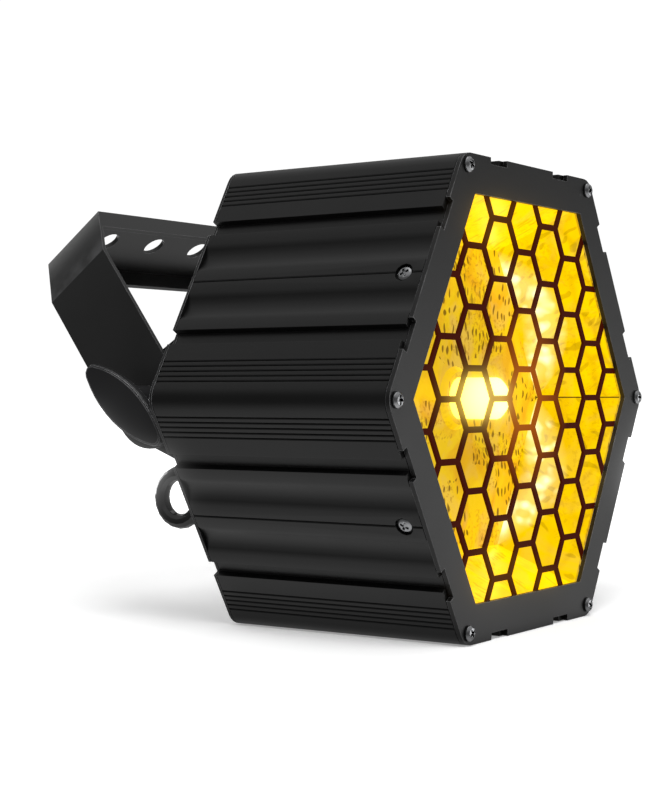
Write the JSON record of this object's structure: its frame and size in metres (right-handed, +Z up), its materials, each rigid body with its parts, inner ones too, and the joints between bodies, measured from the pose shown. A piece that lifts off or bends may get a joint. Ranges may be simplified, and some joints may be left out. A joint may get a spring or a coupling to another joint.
{
  "type": "led blinder stage light",
  "caption": "Hexagonal stage blinder with an extruded ribbed body, a honeycomb front over a gold reflector tray and warm lamp, and a tilting U yoke with clamp knobs behind.",
  "frame": {"origin": "on the floor, under the middle of the lamp and its yoke as one box", "axes": "+X to the right as seen from the front, across the lamp's widest corners; +Y from the front grille to the rear panel; +Z up"},
  "size_m": [0.2748, 0.2636, 0.241],
  "materials": {
    "body_powder_coat": "satin black powder coat over extruded aluminium",
    "sheet_powder_coat": "fine satin black powder coat on sheet steel",
    "grille_coat": "thin satin black coat",
    "gold_reflector": "hammered gold anodised aluminium",
    "lamp_glow": "frosted warm diffuser, lit",
    "white_board": "white solder mask",
    "bare_aluminium": "plain extruded aluminium",
    "plated_steel": "zinc plated",
    "green_board": "green solder mask",
    "display_window": "smoked glossy window",
    "eye_coat": "glossy black",
    "plated_screws": "bright zinc plated",
    "knob_plastic": "fine-grained black nylon",
    "washer_plastic": "black fibre",
    "socket_plastic": "black moulded plastic",
    "button_plastic": "black silicone"
  },
  "bodies": {
    "lamp_body": {"bracket_screw_left_lower": "plated_screws", "bracket_screw_left_upper": "plated_screws", "bracket_screw_right_lower": "plated_screws", "bracket_screw_right_upper": "plated_screws", "control_board": "green_board", "control_inlet": "socket_plastic", "control_outlet": "socket_plastic", "display_window": "display_window", "friction_washer_left": "washer_plastic", "friction_washer_right": "washer_plastic", "front_frame": "sheet_powder_coat", "front_screw_1": "plated_screws", "front_screw_2": "plated_screws", "front_screw_3": "plated_screws", "front_screw_4": "plated_screws", "front_screw_5": "plated_screws", "front_screw_6": "plated_screws", "heat_sink": "bare_aluminium", "honeycomb_grille": "grille_coat", "housing": "body_powder_coat", "inner_plate": "plated_steel", "lamp_board": "white_board", "lamp_collar": "gold_reflector", "lamp_diffuser": "lamp_glow", "led_driver": "bare_aluminium", "pivot_bracket_left": "sheet_powder_coat", "pivot_bracket_right": "sheet_powder_coat", "power_inlet": "socket_plastic", "power_outlet": "socket_plastic", "rear_panel": "sheet_powder_coat", "rear_screw_1": "plated_screws", "rear_screw_2": "plated_screws", "rear_screw_3": "plated_screws", "rear_screw_4": "plated_screws", "rear_screw_5": "plated_screws", "rear_screw_6": "plated_screws", "reflector_tray": "gold_reflector", "safety_eye": "eye_coat", "safety_eye_nut": "plated_screws", "side_screw_1": "plated_screws", "side_screw_2": "plated_screws", "side_screw_3": "plated_screws", "side_screw_4": "plated_screws", "side_screw_5": "plated_screws", "side_screw_6": "plated_screws", "standoff_1": "plated_steel", "standoff_2": "plated_steel", "standoff_3": "plated_steel", "standoff_4": "plated_steel"},
    "yoke": {"yoke": "sheet_powder_coat"},
    "left_knob": {"tilt_knob_left": "knob_plastic"},
    "right_knob": {"tilt_knob_right": "knob_plastic"},
    "button_1": {"menu_button_1": "button_plastic"},
    "button_2": {"menu_button_2": "button_plastic"},
    "button_3": {"menu_button_3": "button_plastic"},
    "button_4": {"menu_button_4": "button_plastic"}
  },
  "joints": [
    {"name": "yoke_tilt", "type": "hinge", "parent": "lamp_body", "child": "yoke", "pos_m": [0, 0.04509, 0.1175], "axis": [-1, 0, 0], "range_deg": [-34.7, 143.3]},
    {"name": "left_knob_turn", "type": "hinge", "parent": "lamp_body", "child": "left_knob", "pos_m": [0, 0.04509, 0.1175], "axis": [-1, 0, 0], "range_deg": [0, 270]},
    {"name": "right_knob_turn", "type": "hinge", "parent": "lamp_body", "child": "right_knob", "pos_m": [0, 0.04509, 0.1175], "axis": [1, 0, 0], "range_deg": [0, 270]},
    {"name": "button_1_press", "type": "slide", "parent": "lamp_body", "child": "button_1", "axis": [0, -1, 0], "range_m": [0, 0.0012], "stiffness_N_per_m": 500, "springref_m": -0.0006},
    {"name": "button_2_press", "type": "slide", "parent": "lamp_body", "child": "button_2", "axis": [0, -1, 0], "range_m": [0, 0.0012], "stiffness_N_per_m": 500, "springref_m": -0.0006},
    {"name": "button_3_press", "type": "slide", "parent": "lamp_body", "child": "button_3", "axis": [0, -1, 0], "range_m": [0, 0.0012], "stiffness_N_per_m": 500, "springref_m": -0.0006},
    {"name": "button_4_press", "type": "slide", "parent": "lamp_body", "child": "button_4", "axis": [0, -1, 0], "range_m": [0, 0.0012], "stiffness_N_per_m": 500, "springref_m": -0.0006}
  ]
}
